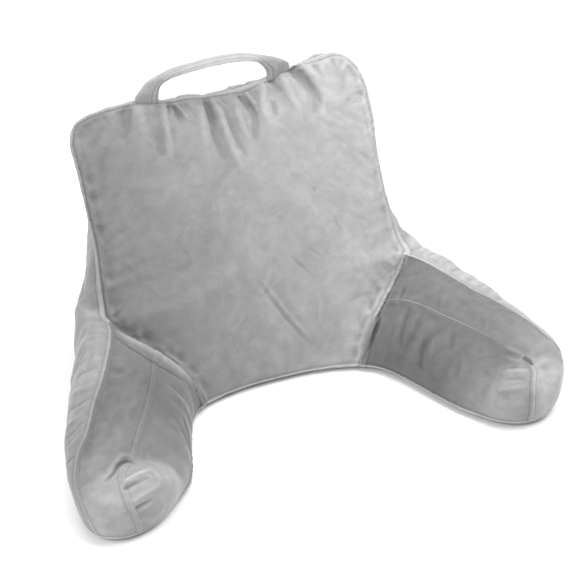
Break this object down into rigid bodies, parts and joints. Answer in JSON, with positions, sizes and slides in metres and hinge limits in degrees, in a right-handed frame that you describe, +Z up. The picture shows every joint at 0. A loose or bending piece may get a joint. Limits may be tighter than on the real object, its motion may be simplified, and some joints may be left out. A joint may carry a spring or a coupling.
{
  "type": "reading pillow with arms",
  "caption": "Grey velour bed rest pillow with a crowned, gathered back, two padded arms splayed forward and a carrying strap on top.",
  "frame": {"origin": "middle of the pillow's overall box, on the floor it stands on", "axes": "+Z up; -Y is the way the sitter faces and the arms point; +X is to the right as seen from the front"},
  "size_m": [0.7188, 0.5484, 0.411],
  "materials": {
    "velour": "matt grey short-pile velour"
  },
  "bodies": {
    "root": {"back_cushion": "velour", "arm_left": "velour", "arm_right": "velour", "handle": "velour"}
  },
  "joints": []
}
